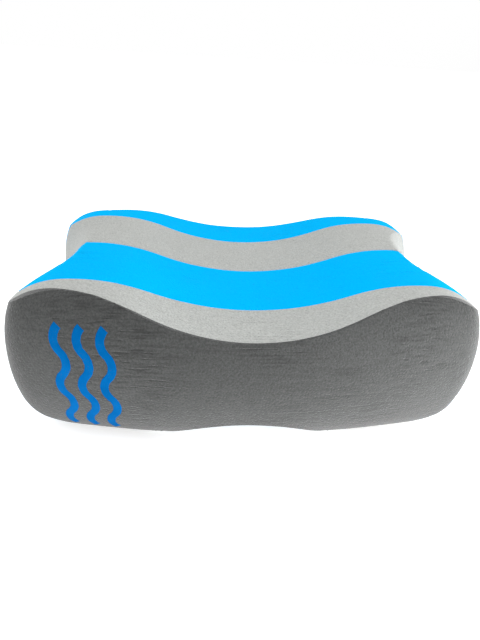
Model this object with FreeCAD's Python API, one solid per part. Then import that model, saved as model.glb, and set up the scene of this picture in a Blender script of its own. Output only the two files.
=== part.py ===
"""Pull buoy: a laminated closed-cell foam float that a swimmer holds between the thighs.

Units are millimetres. +X runs from lobe to lobe, +Y from the capped front face to the back
and +Z is up. The origin is on the surface that the buoy stands on, under the middle of the
block. The block is one bonded stack of foam sheets, and each sheet is its own solid.

The outer form is where two cuts meet. One cut follows a figure-of-eight in XZ and runs
along Y: a thigh groove above and below, between two round lobes. The other follows the
plan outline with a bullnosed (half-elliptical) edge, so every wall is rounded.
"""
import FreeCAD, Part
import math
import os
from FreeCAD import Vector

# Figure-of-eight section, measured from the mid-height plane. A groove and its shoulders are
# tangent arcs, a crest is flat, and a lobe's end is a quarter of an ellipse.
LOBE_HALF_HEIGHT = 40.4
WAIST_HALF_HEIGHT = 24.6
TOP_GROOVE_HALF_WIDTH = 82.8     # from the middle to where a lobe's flat crest starts
TOP_GROOVE_SHARE = 0.60          # the groove arc's share of the two arcs' radii
TOP_CREST_WIDTH = 3.7
TOP_END_X = 127.5                # where the ellipse would meet the mid-height plane
BOTTOM_GROOVE_HALF_WIDTH = 66.5
BOTTOM_GROOVE_SHARE = 0.46
BOTTOM_CREST_WIDTH = 5.5
BOTTOM_END_X = 119.0

# Plan outline, measured at mid-height, where the block is widest.
HALF_DEPTH = 78.2
FACE_BOW = 9.6               # the front and back faces fall back this far at FACE_BOW_X
FACE_BOW_X = 100.0
END_WAIST_X = 102.4          # the hollow end walls are nearest to the middle here
END_BOW = 16.7               # and this much further out at END_BOW_Y
END_BOW_Y = 45.0
CORNER_RADIUS = 17.8

# Bullnosed edge: half an ellipse, closed by a flat just above the lobes' crests.
NOSE_DEPTH = 16.8
NOSE_HALF_HEIGHT = 40.9
NOSE_TRIM = math.radians(6.0)

# Bonded sheets. The block's middle plane is the joint between the second and third sheet.
SHEET_THICKNESS = 45.2
CAP_CROWN_Y = -74.2          # the cap's glued face on the middle line, at the lobes' top
CAP_EDGE_Y = -51.9           # and at the ends, where it runs straight
CAP_CROWN_HALF_WIDTH = 117.0
CAP_CROWN_SHARE = 0.55       # the crown arc's share of the two arcs' radii
CAP_LEAN = 3.0               # the glued face leans back this far from the top to the bottom

# Printed mark: upright wave bars on the left lobe.
INK_THICKNESS = 0.3
BAR_COUNT = 3
BAR_WIDTH = 4.0
BAR_SPACING = 10.5
BAR_MIDDLE_X = -76.5
BAR_MIDDLE_Z = -2.0          # from the mid-height plane
WAVE_RADIUS = 9.0            # of a bar's middle line
WAVE_HALF_TURN = math.radians(42.0)
WAVE_COUNT = 5               # arcs in a bar

MID_Z = LOBE_HALF_HEIGHT
REACH = 300.0                # past the block on every side


def s_curve(run, rise, share):
    """Radii of two tangent arcs that climb rise over run, and the point where they join."""
    total = (run ** 2 + rise ** 2) / (2 * rise)
    first = share * total
    second = total - first
    return first, second, run * share, rise * share


def arc_middle(start, centre_x, centre_y, radius, end):
    """The point half-way along the short arc from start to end about a centre."""
    middle_x = (start[0] + end[0]) / 2 - centre_x
    middle_y = (start[1] + end[1]) / 2 - centre_y
    scale = radius / math.hypot(middle_x, middle_y)
    return centre_x + middle_x * scale, centre_y + middle_y * scale


def bow_radius(bow, half_chord):
    """Radius of the arc that bows by bow over half_chord."""
    return (half_chord ** 2 + bow ** 2) / (2 * bow)


def half_section(side, up, groove_half_width, groove_share, crest_width, end_x):
    """One quarter of the figure-of-eight: groove, shoulder, crest and the lobe's end."""
    def at(x, height):
        return Vector(side * x, -REACH, MID_Z + up * height)
    rise = LOBE_HALF_HEIGHT - WAIST_HALF_HEIGHT
    groove, shoulder, join_x, join_rise = s_curve(groove_half_width, rise, groove_share)
    join = (join_x, WAIST_HALF_HEIGHT + join_rise)
    waist = (0.0, WAIST_HALF_HEIGHT)
    crest = (groove_half_width, LOBE_HALF_HEIGHT)
    crest_end = (groove_half_width + crest_width, LOBE_HALF_HEIGHT)
    groove_mid = arc_middle(waist, 0.0, WAIST_HALF_HEIGHT + groove, groove, join)
    shoulder_mid = arc_middle(join, crest[0], LOBE_HALF_HEIGHT - shoulder, shoulder, crest)
    lobe = Part.Ellipse(at(end_x, 0.0), at(*crest_end), at(crest_end[0], 0.0))
    return [
        Part.Arc(at(*waist), at(*groove_mid), at(*join)).toShape(),
        Part.Arc(at(*join), at(*shoulder_mid), at(*crest)).toShape(),
        Part.LineSegment(at(*crest), at(*crest_end)).toShape(),
        Part.Arc(lobe, 0, math.pi / 2).toShape(),
    ]


def figure_eight():
    """The section in XZ, cut through the whole depth along Y."""
    edges = []
    for side in (1, -1):
        edges += half_section(side, 1, TOP_GROOVE_HALF_WIDTH, TOP_GROOVE_SHARE,
                              TOP_CREST_WIDTH, TOP_END_X)
        edges += half_section(side, -1, BOTTOM_GROOVE_HALF_WIDTH, BOTTOM_GROOVE_SHARE,
                              BOTTOM_CREST_WIDTH, BOTTOM_END_X)
        edges.append(Part.LineSegment(Vector(side * TOP_END_X, -REACH, MID_Z),
                                      Vector(side * BOTTOM_END_X, -REACH, MID_Z)).toShape())
    wire = Part.Wire(Part.__sortEdges__(edges))
    return Part.Face(wire).extrude(Vector(0, 2 * REACH, 0))


def corner_centre(face_centre_y, face_radius, end_centre_x, end_radius):
    """Centre of the front right corner arc, tangent to the bowed face and the hollow end."""
    to_face = face_radius - CORNER_RADIUS
    to_end = end_radius + CORNER_RADIUS
    gap = math.hypot(end_centre_x, face_centre_y)
    along = (to_face ** 2 - to_end ** 2 + gap ** 2) / (2 * gap)
    across = math.sqrt(to_face ** 2 - along ** 2)
    ux = end_centre_x / gap
    uy = -face_centre_y / gap
    return along * ux + across * uy, face_centre_y + along * uy - across * ux


def plan_arcs(grow):
    """The plan outline as arcs: centre, signed radius and end angles, for all eight stretches.

    A hollow stretch has a negative radius. grow moves the whole outline outwards.
    """
    face_radius = bow_radius(FACE_BOW, FACE_BOW_X)
    end_radius = bow_radius(END_BOW, END_BOW_Y)
    face_y = face_radius - HALF_DEPTH
    end_x = END_WAIST_X + end_radius
    corner_x, corner_y = corner_centre(face_y, face_radius, end_x, end_radius)
    face_turn = math.atan2(corner_x, face_y - corner_y)
    end_turn = math.atan2(-corner_y, end_x - corner_x)

    arcs = []
    for up in (-1, 1):
        middle = math.radians(90 * up)
        arcs.append((0.0, -up * face_y, face_radius + grow, middle - face_turn, middle + face_turn))
    for side in (-1, 1):
        middle = 0.0 if side < 0 else math.pi
        arcs.append((side * end_x, 0.0, grow - end_radius, middle - end_turn, middle + end_turn))
    for side in (-1, 1):
        for up in (-1, 1):
            from_end = 0.0 if side > 0 else math.pi
            turn = side * up
            first = from_end - turn * end_turn
            last = math.radians(90 * up) - turn * face_turn
            if side < 0 and up < 0:
                last += 2 * math.pi
            arcs.append((side * corner_x, up * -corner_y, CORNER_RADIUS + grow,
                         min(first, last), max(first, last)))
    return arcs


def nose_edge(radius, grow):
    """The bullnose as an edge in XZ, with its outermost point at x = radius."""
    depth = NOSE_DEPTH + grow
    height = NOSE_HALF_HEIGHT + grow
    outward = 1 if radius > 0 else -1
    reach = abs(radius)
    centre = Vector(reach - outward * depth, 0, MID_Z)
    tall = centre + Vector(0, 0, height)
    wide = Vector(reach, 0, MID_Z)
    ellipse = Part.Ellipse(tall, wide, centre)
    return Part.Arc(ellipse, NOSE_TRIM, math.pi - NOSE_TRIM).toShape()


def block(grow=0.0):
    """The bullnosed block before the figure-of-eight cut, with its surface moved out by grow."""
    walls = []
    for centre_x, centre_y, radius, first, last in plan_arcs(grow):
        edge = nose_edge(radius, grow)
        edge.rotate(Vector(), Vector(0, 0, 1), math.degrees(first))
        edge.translate(Vector(centre_x, centre_y, 0))
        axis_point = Vector(centre_x, centre_y, 0)
        walls.append(edge.revolve(axis_point, Vector(0, 0, 1), math.degrees(last - first)))

    rims = {1: [], -1: []}
    for wall in walls:
        for edge in wall.Edges:
            box = edge.BoundBox
            if box.ZLength < 0.001:
                rims[1 if box.ZMin > MID_Z else -1].append(edge)
    faces = list(walls)
    for rim in rims.values():
        faces.append(Part.Face(Part.Wire(Part.__sortEdges__(rim))))
    shell = Part.makeShell([face for shape in faces for face in shape.Faces])
    shell.sewShape()
    solid = Part.makeSolid(shell)
    if solid.Volume < 0:
        solid.reverse()
    return solid


def slab(front_y, back_y):
    """A box over the whole block between two Y planes."""
    corner = Vector(-REACH / 2, front_y, -REACH / 2)
    return Part.makeBox(REACH, back_y - front_y, REACH, corner)


def behind_cap():
    """Everything behind the cap's glued face, which is crowned in plan and leans."""
    rise = CAP_EDGE_Y - CAP_CROWN_Y
    crown, flare, join_x, join_rise = s_curve(CAP_CROWN_HALF_WIDTH, rise, CAP_CROWN_SHARE)
    top = (0.0, CAP_CROWN_Y)
    join = (join_x, CAP_CROWN_Y + join_rise)
    edge = (CAP_CROWN_HALF_WIDTH, CAP_EDGE_Y)
    crown_mid = arc_middle(top, 0.0, CAP_CROWN_Y + crown, crown, join)
    flare_mid = arc_middle(join, edge[0], CAP_EDGE_Y - flare, flare, edge)
    far = REACH / 2
    lean = CAP_LEAN / (2 * MID_Z)
    at_bottom = lean * (2 * MID_Z + far)

    edges = []
    for side in (1, -1):
        def at(point):
            return Vector(side * point[0], point[1] + at_bottom, -far)
        edges.append(Part.Arc(at(top), at(crown_mid), at(join)).toShape())
        edges.append(Part.Arc(at(join), at(flare_mid), at(edge)).toShape())
        edges.append(Part.LineSegment(at(edge), at((far, CAP_EDGE_Y))).toShape())
        edges.append(Part.LineSegment(at((far, CAP_EDGE_Y)), at((far, far))).toShape())
    back_y = far + at_bottom
    edges.append(Part.LineSegment(Vector(far, back_y, -far), Vector(-far, back_y, -far)).toShape())
    wire = Part.Wire(Part.__sortEdges__(edges))
    return Part.Face(wire).extrude(Vector(0, -2 * far * lean, 2 * far))


def wave_bar(middle_x):
    """One upright wavy bar in XZ, from equal arcs that bulge left and right in turn."""
    chord = 2 * WAVE_RADIUS * math.sin(WAVE_HALF_TURN)
    offset = WAVE_RADIUS * math.cos(WAVE_HALF_TURN)
    start_z = MID_Z + BAR_MIDDLE_Z - chord * WAVE_COUNT / 2
    rails = []
    for rail in (-BAR_WIDTH / 2, BAR_WIDTH / 2):
        points = []
        for i in range(WAVE_COUNT):
            bulge = 1 if i % 2 else -1
            radius = WAVE_RADIUS + bulge * rail
            centre_x = middle_x - bulge * offset
            centre_z = start_z + chord * (i + 0.5)
            angles = (-WAVE_HALF_TURN, 0.0, WAVE_HALF_TURN)
            points.append([Vector(centre_x + bulge * radius * math.cos(a), -REACH,
                                  centre_z + radius * math.sin(a)) for a in angles])
        rails.append(points)
    edges = [Part.Arc(*three).toShape() for rail in rails for three in rail]
    for end in (0, -1):
        edges.append(Part.LineSegment(rails[0][end][end], rails[1][end][end]).toShape())
    wire = Part.Wire(Part.__sortEdges__(edges))
    return Part.Face(wire).extrude(Vector(0, REACH, 0))


def printed_mark(body):
    """The ink film: the wave bars where they cross a thin skin over the cap's front."""
    skin = block(INK_THICKNESS).common(figure_eight()).cut(body)
    bars = []
    for i in range(BAR_COUNT):
        middle_x = BAR_MIDDLE_X + (i - (BAR_COUNT - 1) / 2) * BAR_SPACING
        bars.append(wave_bar(middle_x))
    return skin.common(Part.makeCompound(bars))


def main():
    os.makedirs("parts", exist_ok=True)
    body = block().common(figure_eight())
    stack = behind_cap().common(body)
    joint = SHEET_THICKNESS
    parts = {
        "dark_front_cap": body.cut(behind_cap()),
        "light_grey_front_layer": stack.common(slab(-REACH / 2, -joint)),
        "blue_front_layer": stack.common(slab(-joint, 0)),
        "light_grey_rear_layer": stack.common(slab(0, joint)),
        "blue_rear_layer": stack.common(slab(joint, REACH / 2)),
        "printed_wave_mark": printed_mark(body),
    }
    for name, shape in parts.items():
        solids = shape.Solids
        piece = solids[0] if len(solids) == 1 else Part.makeCompound(solids)
        box = piece.BoundBox
        print(name, len(solids), piece.isValid(), round(piece.Volume),
              [round(v, 1) for v in (box.XMin, box.XMax, box.YMin, box.YMax, box.ZMin, box.ZMax)])
        piece.exportStep(f"parts/{name}.step")


main()
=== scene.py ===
import math

import bmesh
import bpy
import numpy as np
from mathutils import Matrix, Vector, noise
from mathutils.bvhtree import BVHTree


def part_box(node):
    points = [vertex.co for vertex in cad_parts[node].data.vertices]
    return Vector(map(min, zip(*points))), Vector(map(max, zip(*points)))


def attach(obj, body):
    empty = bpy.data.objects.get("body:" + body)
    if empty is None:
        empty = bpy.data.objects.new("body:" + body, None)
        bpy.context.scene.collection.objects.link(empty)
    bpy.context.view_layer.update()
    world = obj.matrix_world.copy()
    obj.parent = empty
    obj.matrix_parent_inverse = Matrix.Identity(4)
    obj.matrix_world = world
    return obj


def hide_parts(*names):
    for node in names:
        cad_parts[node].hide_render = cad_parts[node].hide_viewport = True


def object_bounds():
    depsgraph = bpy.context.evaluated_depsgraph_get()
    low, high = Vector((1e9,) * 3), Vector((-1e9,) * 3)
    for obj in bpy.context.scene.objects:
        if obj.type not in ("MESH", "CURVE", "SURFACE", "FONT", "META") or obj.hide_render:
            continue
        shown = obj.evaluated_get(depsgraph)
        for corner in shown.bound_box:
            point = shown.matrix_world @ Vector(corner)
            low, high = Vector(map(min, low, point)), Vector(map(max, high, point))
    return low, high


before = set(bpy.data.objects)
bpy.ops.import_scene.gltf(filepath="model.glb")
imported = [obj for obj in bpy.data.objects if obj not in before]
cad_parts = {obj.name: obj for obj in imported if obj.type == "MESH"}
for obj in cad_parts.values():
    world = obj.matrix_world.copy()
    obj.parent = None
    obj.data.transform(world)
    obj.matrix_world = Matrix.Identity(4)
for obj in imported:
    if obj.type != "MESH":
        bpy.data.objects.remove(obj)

MM = 0.001

# Foam sheets: the CAD node and the material slot of each.
SHEETS = {
    "dark_front_cap": "dark_grey_foam",
    "light_grey_front_layer": "light_grey_foam",
    "blue_front_layer": "blue_foam",
    "light_grey_rear_layer": "light_grey_foam",
    "blue_rear_layer": "blue_foam",
}
WELD_DISTANCE = 0.001 * MM
REMESH_DEPTH = 8
REMESH_SCALE = 0.95
CREASE_ANGLE = math.radians(24)
FAIRING_PASSES = 24
FAIRING_STEP = 0.5           # share of the way to the neighbours' mean that a vertex moves
GLUE_GAP = 0.12 * MM         # faces nearer than this to another sheet are glued to it,
GLUE_FACING = -0.9           # if the cosine between their normals is also below this

# Relief that the blade and the years leave on the skin.
WANDER = 0.16 * MM           # slow waviness of the cut
WANDER_LENGTH = 26 * MM
STREAK = 0.05 * MM           # ridges along the blade's travel
STREAK_LENGTH = 30 * MM
STREAK_WIDTH = 2.2 * MM
SEAM_SINK = 0.10 * MM        # the bond line lies this far below the skin

# Wave mark, as in the CAD film: upright bars made of equal arcs.
BAR_COUNT = 3
BAR_WIDTH = 4.0 * MM
WAVE_RADIUS = 9.0 * MM
WAVE_HALF_TURN = math.radians(42)
WAVE_COUNT = 5
INK_PROUD = 0.07 * MM
INK_DEPTH = 0.14 * MM
INK_RAGGED = 0.16 * MM       # how far the ink's edge strays between the foam's cells
INK_RAGGED_LENGTH = 0.9 * MM
INK_CAST = 50 * MM           # the ink drops on to the skin from this far in front of the film
INK_STEPS_ACROSS = 8
INK_STEPS_PER_ARC = 30

# Foam materials: sizes of their features, and tints of the base colour.
CELL_SIZE = 1.3 * MM
GRAIN_SIZE = 0.9 * MM
BLOTCH_SIZE = 14 * MM
HATCH_SIZE = 1.4 * MM
HATCH_DEPTH = 0.10 * MM
SCRATCH_SIZE = 1.1 * MM
SCRATCH_DEPTH = 0.15 * MM
CUT_PATCH_SIZE = 45 * MM     # the blade's marks come and go over this length
HATCH_STRETCH = (0.05, 1.0, 1.0)     # scale of the noise along X, Y and Z
SCRATCH_STRETCH = (0.03, 1.0, 1.0)
# Tint of the base colour in each cell's hollow, where the bump sinks the skin: painted shade.
CELL_SHADE_TINT = 0.35
BLOTCH_TINT = 1.25
CUT_TINT = 0.4
FOAM_ROUGHNESS = (0.74, 0.88)
SHEEN_ROUGHNESS = 0.45

DARK_GREY = (0.056, 0.058, 0.057)
FOAM_LOOKS = {
    "dark_grey_foam": dict(colour=DARK_GREY, contrast=0.30, hatch=0.45, scratch=0.5,
                           relief=0.18 * MM, gloss=0.15, sheen=0.30),
    "light_grey_foam": dict(colour=(0.405, 0.415, 0.40), contrast=0.17, hatch=0.10, scratch=0.1,
                            relief=0.24 * MM, gloss=0.12, sheen=0.05),
    "blue_foam": dict(colour=(0.0, 0.42, 0.86), contrast=0.05, hatch=0.05, scratch=0.05,
                      relief=0.12 * MM, gloss=0.01, sheen=0.0),
}

# Ink material.
INK_BLUE = (0.0, 0.10, 0.32)
INK_GRAIN_SIZE = 0.5 * MM
INK_WEAR_SIZE = 9 * MM
INK_CELL_SIZE = 0.75 * MM
INK_RELIEF = 0.07 * MM
INK_GLOSS = 0.01
INK_ROUGHNESS = (0.60, 0.75)

# Camera, measured from the middle of the block.
CAMERA_FROM_MIDDLE = (-20.8 * MM, -231.3 * MM, 134.4 * MM)
CAMERA_PITCH = math.radians(31.72)   # below the horizontal
CAMERA_HEADING = math.radians(-4.91)
CAMERA_ROLL = math.radians(3.40)
CAMERA_FOCAL_SHARE = 435 / 640       # focal length as a share of the picture's height
SENSOR = 36.0
CLIP_START = 0.01

# Studio: directions point towards the light.
WHITE = (1, 1, 1, 1)
FLOOR_HALF = 12.0
FLOOR_TONE_SIZE = 0.4
FLOOR_TONES = ((0.80, 0.80, 0.80), (0.84, 0.84, 0.84))
FLOOR_ROUGHNESS = 0.85
FLOOR_GLOSS = 0.1
FLOOR_GLOW = 0.55            # the floor is a light table: it also shines a little itself
BRIGHT_SIDE = (0.0, 0.75, 0.60)
SKY_RAMP = (-0.35, 0.75)     # cosines from the bright side where the sky is dim and bright
SKY_DIM = 0.05
SKY_BRIGHT = 1.0
OVERHEAD_FROM = (0.0, 0.25, 0.95)
OVERHEAD_POWER = 1.5
OVERHEAD_SPREAD = math.radians(80)
SOFTBOX_SIZE = 0.22
SOFTBOXES = {                # place from the middle, and power
    "right_softbox": ((0.25, -0.20, 0.0), 1.50),
    "left_softbox": ((-0.28, -0.24, 0.0), 0.60),
}
UNDER_LIGHT_SIZE = (0.34, 0.06)
UNDER_LIGHT_HEIGHT = 2 * MM
UNDER_LIGHT_POWER = 0.07


# ---- Geometry -------------------------------------------------------------------------

def new_object(name, data):
    """An object made of a mesh, a light or a camera, in the scene."""
    piece = bpy.data.objects.new(name, data)
    bpy.context.scene.collection.objects.link(piece)
    return piece


def tree_of(mesh):
    points = [v.co.copy() for v in mesh.vertices]
    return BVHTree.FromPolygons(points, [tuple(p.vertices) for p in mesh.polygons])


def even_quads(source):
    """A closed mesh of even quads over a CAD solid that keeps its sharp edges."""
    mesh = source.data.copy()
    bm = bmesh.new()
    bm.from_mesh(mesh)
    bmesh.ops.remove_doubles(bm, verts=bm.verts, dist=WELD_DISTANCE)
    bm.to_mesh(mesh)
    bm.free()
    helper = new_object("remesh_helper", mesh)
    remesh = helper.modifiers.new("even_quads", "REMESH")
    remesh.mode = "SHARP"
    remesh.octree_depth = REMESH_DEPTH
    remesh.scale = REMESH_SCALE
    remesh.use_remove_disconnected = False
    depsgraph = bpy.context.evaluated_depsgraph_get()
    result = bpy.data.meshes.new_from_object(helper.evaluated_get(depsgraph))
    bpy.data.objects.remove(helper)
    return result


class Skin:
    """The arrays of one mesh that fairing and relief work on."""

    def __init__(self, mesh):
        bm = bmesh.new()
        bm.from_mesh(mesh)
        bm.normal_update()
        self.points = np.array([v.co for v in bm.verts])
        self.edges = np.array([[v.index for v in e.verts] for e in bm.edges])
        self.sharp = np.array([e.calc_face_angle(math.pi) > CREASE_ANGLE for e in bm.edges])
        bm.free()

    def fair(self):
        """Evens out the CAD's facets. A sharp edge moves only along itself, and corners stay."""
        count = len(self.points)
        lines = self.edges[self.sharp]
        line_count = np.bincount(lines.ravel(), minlength=count)
        on_line = line_count > 0
        for _ in range(FAIRING_PASSES):
            mean = self._neighbour_mean(self.edges, count)
            line_mean = self._neighbour_mean(lines, count)
            goal = np.where(on_line[:, None], line_mean, mean)
            held = on_line & (line_count != 2)
            goal[held] = self.points[held]
            self.points += FAIRING_STEP * (goal - self.points)

    def _neighbour_mean(self, edges, count):
        """The mean of each vertex's neighbours along these edges, or 0 where it has none."""
        total = np.zeros((count, 3))
        near = np.bincount(edges.ravel(), minlength=count)
        a, b = edges[:, 0], edges[:, 1]
        for axis in range(3):
            total[:, axis] = np.bincount(a, self.points[b, axis], count)
            total[:, axis] += np.bincount(b, self.points[a, axis], count)
        return total / np.maximum(near, 1)[:, None]


def outer_normals(mesh, others):
    """Each vertex's normal over the faces that aren't glued.

    Also says which vertices lie on a seam, and which have such a face at all.
    """
    normals = np.zeros((len(mesh.vertices), 3))
    glued = np.zeros(len(mesh.vertices), bool)
    for face in mesh.polygons:
        corners = list(face.vertices)
        nearest = [tree.find_nearest(face.center, GLUE_GAP) for tree in others]
        if any(hit[0] is not None and hit[1].dot(face.normal) < GLUE_FACING for hit in nearest):
            glued[corners] = True
        else:
            normals[corners] += np.array(face.normal) * face.area
    length = np.linalg.norm(normals, axis=1)
    outer = length > 0
    normals[outer] /= length[outer, None]
    return normals, outer & glued, outer


def relief(point):
    """Height of the skin's unevenness at a point. It runs on from sheet to sheet."""
    wander = noise.noise(point / WANDER_LENGTH)
    along = Vector((point.x / STREAK_LENGTH, point.y / STREAK_WIDTH, point.z / STREAK_WIDTH))
    return WANDER * wander + STREAK * noise.noise(along)


def foam_sheet(node, trees):
    """One foam sheet: faired, with sharp cut edges and the unevenness of cut foam."""
    mesh = even_quads(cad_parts[node])
    skin = Skin(mesh)
    skin.fair()
    mesh.vertices.foreach_set("co", skin.points.ravel())
    mesh.update()
    others = [tree for other, tree in trees.items() if other != node]
    normals, seam, outer = outer_normals(mesh, others)
    for i in np.flatnonzero(outer):
        vertex = mesh.vertices[i]
        height = relief(vertex.co) - (SEAM_SINK if seam[i] else 0.0)
        vertex.co += Vector(normals[i]) * height
    mesh.shade_smooth()
    mesh.set_sharp_from_angle(angle=CREASE_ANGLE)
    return new_object(node.replace("_layer", "_sheet") + "_foam", mesh)


def wave_line():
    """Points of one bar's middle line in XZ about the bar's own middle, with their normals."""
    chord = 2 * WAVE_RADIUS * math.sin(WAVE_HALF_TURN)
    offset = WAVE_RADIUS * math.cos(WAVE_HALF_TURN)
    line = []
    for i in range(WAVE_COUNT):
        bulge = 1 if i % 2 else -1
        middle_z = chord * (i + 0.5 - WAVE_COUNT / 2)
        for step in range(INK_STEPS_PER_ARC + (i == WAVE_COUNT - 1)):
            angle = WAVE_HALF_TURN * (2 * step / INK_STEPS_PER_ARC - 1)
            out = Vector((bulge * math.cos(angle), 0, math.sin(angle)))
            centre = Vector((-bulge * offset, 0, middle_z))
            line.append((centre + out * WAVE_RADIUS, out * bulge))
    return line


def ink_row(bm, tree, point, out):
    """One row of ink vertices across a bar, dropped on to the skin along +Y."""
    row = []
    for step in range(INK_STEPS_ACROSS + 1):
        share = 2 * step / INK_STEPS_ACROSS - 1
        across = point + out * (share * BAR_WIDTH / 2)
        if abs(share) == 1:
            across += out * (share * INK_RAGGED * noise.noise(across / INK_RAGGED_LENGTH))
        hit, normal, _, _ = tree.ray_cast(across, Vector((0, 1, 0)))
        row.append(bm.verts.new(hit + normal * INK_PROUD))
    return row


def lay_bar(bm, tree, line, middle):
    """The outer faces of one bar of ink."""
    rows = [ink_row(bm, tree, middle + point, out) for point, out in line]
    for near, far in zip(rows, rows[1:]):
        for i in range(INK_STEPS_ACROSS):
            bm.faces.new((near[i], near[i + 1], far[i + 1], far[i]))


def printed_bars(cap):
    """The ink film: bars laid on the cap's skin, with edges that stray between the cells."""
    low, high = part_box("printed_wave_mark")
    tree = tree_of(cap.data)
    line = wave_line()
    reach = max(abs(point.x) for point, _ in line) + BAR_WIDTH / 2
    first = low.x + reach
    spacing = (high.x - reach - first) / (BAR_COUNT - 1)
    middle_z = (low.z + high.z) / 2
    bm = bmesh.new()
    for bar in range(BAR_COUNT):
        lay_bar(bm, tree, line, Vector((first + bar * spacing, low.y - INK_CAST, middle_z)))
    bmesh.ops.recalc_face_normals(bm, faces=bm.faces)
    mesh = bpy.data.meshes.new("printed_wave_mark_ink")
    bm.to_mesh(mesh)
    bm.free()
    if sum(face.normal.y for face in mesh.polygons) > 0:
        mesh.flip_normals()
    piece = new_object("printed_wave_mark_ink", mesh)
    film = piece.modifiers.new("film", "SOLIDIFY")
    film.thickness = INK_DEPTH
    film.offset = -1.0
    mesh.shade_smooth()
    return piece


# ---- Materials ------------------------------------------------------------------------

class Nodes:
    """A short way to write a node tree."""

    def __init__(self, name):
        self.material = bpy.data.materials.new(name)
        self.material.use_nodes = True
        self.tree = self.material.node_tree
        self.shader = self.tree.nodes["Principled BSDF"]
        self.place = self.tree.nodes.new("ShaderNodeTexCoord").outputs["Object"]

    def link(self, source, target):
        self.tree.links.new(source, target)

    def feed(self, value, target):
        """Links an output to the target input, or sets the input to a constant."""
        if isinstance(value, bpy.types.NodeSocket):
            self.link(value, target)
        elif target.type == "RGBA":
            target.default_value = (*value, 1.0)
        else:
            target.default_value = value

    def add(self, kind, **inputs):
        node = self.tree.nodes.new(kind)
        for name, value in inputs.items():
            self.feed(value, node.inputs[name])
        return node

    def stretched(self, scale):
        """Object coordinates scaled per axis, for streaks."""
        return self.add("ShaderNodeMapping", Vector=self.place, Scale=scale).outputs["Vector"]

    def noise(self, size, detail=2.0, roughness=0.5, scale=None):
        """Noise with features of about size, in metres."""
        place = self.stretched(scale) if scale else self.place
        node = self.add("ShaderNodeTexNoise", Vector=place, Scale=1 / size,
                        Detail=detail, Roughness=roughness)
        return node.outputs["Fac"]

    def cells(self, size):
        node = self.add("ShaderNodeTexVoronoi", Vector=self.place, Scale=1 / size)
        return node.outputs["Distance"]

    def spread(self, source, low, high, to_low=0.0, to_high=1.0):
        """The source's range from low to high, spread over to_low to to_high."""
        node = self.add("ShaderNodeMapRange", Value=source)
        node.inputs["From Min"].default_value = low
        node.inputs["From Max"].default_value = high
        node.inputs["To Min"].default_value = to_low
        node.inputs["To Max"].default_value = to_high
        return node.outputs["Result"]

    def maths(self, operation, a, b):
        node = self.tree.nodes.new("ShaderNodeMath")
        node.operation = operation
        self.feed(a, node.inputs[0])
        self.feed(b, node.inputs[1])
        return node.outputs["Value"]

    def mix(self, share, a, b):
        node = self.tree.nodes.new("ShaderNodeMix")
        node.data_type = "RGBA"
        first, second = [socket for socket in node.inputs if socket.type == "RGBA"]
        self.feed(share, node.inputs["Factor"])
        self.feed(a, first)
        self.feed(b, second)
        return next(socket for socket in node.outputs if socket.type == "RGBA")

    def bump(self, height, depth, under=None):
        node = self.add("ShaderNodeBump", Height=height, Distance=depth)
        if under:
            self.link(under, node.inputs["Normal"])
        return node.outputs["Normal"]


def tint(colour, factor):
    return tuple(min(1.0, part * factor) for part in colour)


def blade_marks(n, hatch_strength):
    """Where the blade left hatching, and where it left single scratches."""
    hatch = n.noise(HATCH_SIZE, detail=1.0, scale=HATCH_STRETCH)
    scratch = n.noise(SCRATCH_SIZE, detail=0.0, scale=SCRATCH_STRETCH)
    where = n.noise(CUT_PATCH_SIZE, detail=1.0)
    strength = n.spread(hatch, 0.45, 0.70, 0.0, hatch_strength)
    hatching = n.maths("MULTIPLY", strength, n.spread(where, 0.40, 0.60))
    scratches = n.maths("MULTIPLY", n.spread(scratch, 0.68, 0.74), n.spread(where, 0.50, 0.62))
    return hatching, scratches


def foam_material(name, look):
    """Cut closed-cell foam: fine cells with painted shade in their hollows, blotches, hatching
    and scratches from the blade.
    """
    n = Nodes(name)
    colour = look["colour"]
    contrast = look["contrast"]
    cells = n.cells(CELL_SIZE)
    grain = n.noise(GRAIN_SIZE, detail=2.0, roughness=0.7)
    blotch = n.noise(BLOTCH_SIZE, detail=3.0)
    hatching, scratches = blade_marks(n, look["hatch"])

    grainy = n.spread(grain, 0.32, 0.68)
    speckled = n.mix(grainy, tint(colour, 1 - contrast), tint(colour, 1 + contrast))
    # Painted shade: the base colour darkens in each cell's hollow, on the same spots that the
    # bump below sinks.
    painted_cell_shade = n.spread(cells, 0.05, 0.30, contrast, 0.0)
    cell_shaded = n.mix(painted_cell_shade, speckled, tint(colour, CELL_SHADE_TINT))
    patchy = n.mix(n.spread(blotch, 0.3, 0.7, 0.0, 0.12), cell_shaded, tint(colour, BLOTCH_TINT))
    hatched = n.mix(hatching, patchy, tint(colour, CUT_TINT))
    scratch_share = n.maths("MULTIPLY", scratches, look["scratch"])
    scratched = n.mix(scratch_share, hatched, tint(colour, CUT_TINT))
    n.link(scratched, n.shader.inputs["Base Color"])

    n.link(n.spread(blotch, 0.3, 0.7, *FOAM_ROUGHNESS), n.shader.inputs["Roughness"])
    n.shader.inputs["Specular IOR Level"].default_value = look["gloss"]
    n.shader.inputs["Sheen Weight"].default_value = look["sheen"]
    n.shader.inputs["Sheen Roughness"].default_value = SHEEN_ROUGHNESS
    fine = n.bump(n.maths("ADD", n.spread(cells, 0.0, 0.5), grain), look["relief"])
    cut = n.bump(hatching, HATCH_DEPTH, fine)
    scored = n.bump(n.spread(scratches, 0.0, 1.0, 1.0, 0.0), SCRATCH_DEPTH, cut)
    n.link(scored, n.shader.inputs["Normal"])
    return n.material


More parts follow.
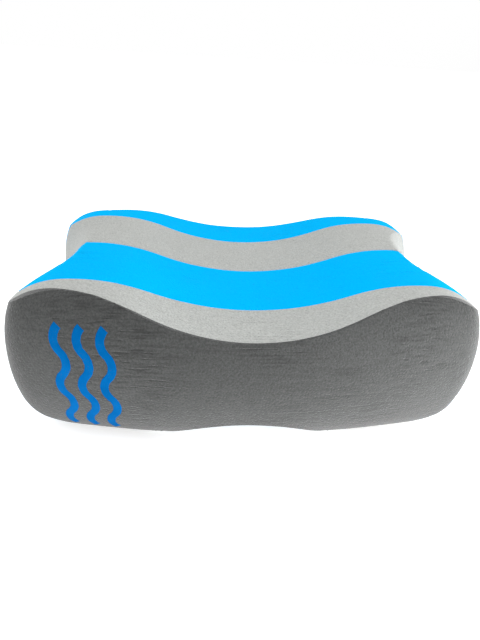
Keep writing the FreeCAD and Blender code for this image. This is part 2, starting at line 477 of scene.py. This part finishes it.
def ink_material(name, colour, foam):
    """Screen ink on foam: dense, with pinholes where a cell took none, and a faint sheen."""
    n = Nodes(name)
    grain = n.noise(INK_GRAIN_SIZE, detail=3.0, roughness=0.6)
    worn = n.noise(INK_WEAR_SIZE, detail=4.0, roughness=0.6)
    cells = n.cells(INK_CELL_SIZE)
    shaded = n.mix(n.spread(worn, 0.3, 0.7), tint(colour, 0.9), tint(colour, 1.15))
    holes = n.maths("MULTIPLY", n.spread(grain, 0.60, 0.70), n.spread(worn, 0.42, 0.62))
    n.link(n.mix(holes, shaded, foam), n.shader.inputs["Base Color"])
    n.link(n.spread(grain, 0.3, 0.7, *INK_ROUGHNESS), n.shader.inputs["Roughness"])
    n.shader.inputs["Specular IOR Level"].default_value = INK_GLOSS
    height = n.maths("ADD", n.spread(cells, 0.0, 0.5), grain)
    n.link(n.bump(height, INK_RELIEF), n.shader.inputs["Normal"])
    return n.material


def floor_material():
    n = Nodes("pale_floor")
    tone = n.noise(FLOOR_TONE_SIZE, detail=2.0)
    n.link(n.mix(tone, *FLOOR_TONES), n.shader.inputs["Base Color"])
    n.shader.inputs["Roughness"].default_value = FLOOR_ROUGHNESS
    n.shader.inputs["Specular IOR Level"].default_value = FLOOR_GLOSS
    n.shader.inputs["Emission Color"].default_value = WHITE
    n.shader.inputs["Emission Strength"].default_value = FLOOR_GLOW
    return n.material


# ---- Studio ---------------------------------------------------------------------------

def floor():
    """A floor so wide that its edge is at the horizon."""
    bm = bmesh.new()
    bmesh.ops.create_grid(bm, x_segments=8, y_segments=8, size=FLOOR_HALF)
    mesh = bpy.data.meshes.new("floor")
    bm.to_mesh(mesh)
    bm.free()
    piece = new_object("floor", mesh)
    piece.data.materials.append(floor_material())


def sky():
    """A white room that is bright behind and overhead, and dim on the near side."""
    world = bpy.data.worlds.new("studio")
    world.use_nodes = True
    tree = world.node_tree
    place = tree.nodes.new("ShaderNodeTexCoord")
    facing = tree.nodes.new("ShaderNodeVectorMath")
    facing.operation = "DOT_PRODUCT"
    facing.inputs[1].default_value = Vector(BRIGHT_SIDE).normalized()
    ramp = tree.nodes.new("ShaderNodeMapRange")
    ramp.interpolation_type = "SMOOTHSTEP"
    ramp.inputs["From Min"].default_value = SKY_RAMP[0]
    ramp.inputs["From Max"].default_value = SKY_RAMP[1]
    ramp.inputs["To Min"].default_value = SKY_DIM
    ramp.inputs["To Max"].default_value = SKY_BRIGHT
    tree.links.new(place.outputs["Generated"], facing.inputs[0])
    tree.links.new(facing.outputs["Value"], ramp.inputs["Value"])
    tree.links.new(ramp.outputs["Result"], tree.nodes["Background"].inputs["Strength"])
    tree.nodes["Background"].inputs["Color"].default_value = WHITE
    bpy.context.scene.world = world


def overhead_light():
    """One broad source high up behind the buoy, so soft that its shadow has no edge."""
    lamp = bpy.data.lights.new("overhead_light", "SUN")
    lamp.energy = OVERHEAD_POWER
    lamp.angle = OVERHEAD_SPREAD
    holder = new_object("overhead_light", lamp)
    holder.rotation_euler = Vector(OVERHEAD_FROM).to_track_quat("Z", "Y").to_euler()


def area_light(name, place, facing, size, power):
    lamp = bpy.data.lights.new(name, "AREA")
    lamp.shape = "RECTANGLE"
    lamp.size, lamp.size_y = size
    lamp.energy = power
    holder = new_object(name, lamp)
    holder.location = place
    holder.rotation_euler = (-Vector(facing)).to_track_quat("Z", "Y").to_euler()
    holder.visible_camera = False


def studio(middle, low):
    sky()
    overhead_light()
    for name, (offset, power) in SOFTBOXES.items():
        away = Vector(offset)
        area_light(name, middle + away, -away, (SOFTBOX_SIZE, SOFTBOX_SIZE), power)
    front = Vector((0, low.y - UNDER_LIGHT_SIZE[1] / 2, low.z + UNDER_LIGHT_HEIGHT))
    area_light("under_light", front, (0, 0, 1), UNDER_LIGHT_SIZE, UNDER_LIGHT_POWER)
    floor()
    bpy.context.scene.view_settings.view_transform = "Standard"


def camera(middle):
    data = bpy.data.cameras.new("camera")
    data.sensor_width = SENSOR
    data.lens = SENSOR * CAMERA_FOCAL_SHARE
    data.clip_start = CLIP_START
    holder = new_object("camera", data)
    turn = Matrix.Rotation(CAMERA_HEADING, 4, "Z")
    tilt = Matrix.Rotation(math.pi / 2 - CAMERA_PITCH, 4, "X")
    roll = Matrix.Rotation(CAMERA_ROLL, 4, "Z")
    place = Matrix.Translation(middle + Vector(CAMERA_FROM_MIDDLE))
    holder.matrix_world = place @ turn @ tilt @ roll
    bpy.context.scene.camera = holder


# ---- The buoy -------------------------------------------------------------------------

def box_list():
    return [list(corner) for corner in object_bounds()]


cad_box = box_list()
block_middle = sum((Vector(corner) for corner in cad_box), Vector()) / 2
camera(block_middle)
studio(block_middle, Vector(cad_box[0]))

foams = {slot: foam_material(slot, look) for slot, look in FOAM_LOOKS.items()}
cad_trees = {node: tree_of(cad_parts[node].data) for node in SHEETS}
sheets = {}
for node, slot in SHEETS.items():
    sheet = foam_sheet(node, cad_trees)
    sheet.data.materials.clear()
    sheet.data.materials.append(foams[slot])
    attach(sheet, "root")
    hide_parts(node)
    sheets[node] = sheet

ink = printed_bars(sheets["dark_front_cap"])
ink.data.materials.append(ink_material("blue_ink", INK_BLUE, DARK_GREY))
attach(ink, "root")
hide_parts("printed_wave_mark")
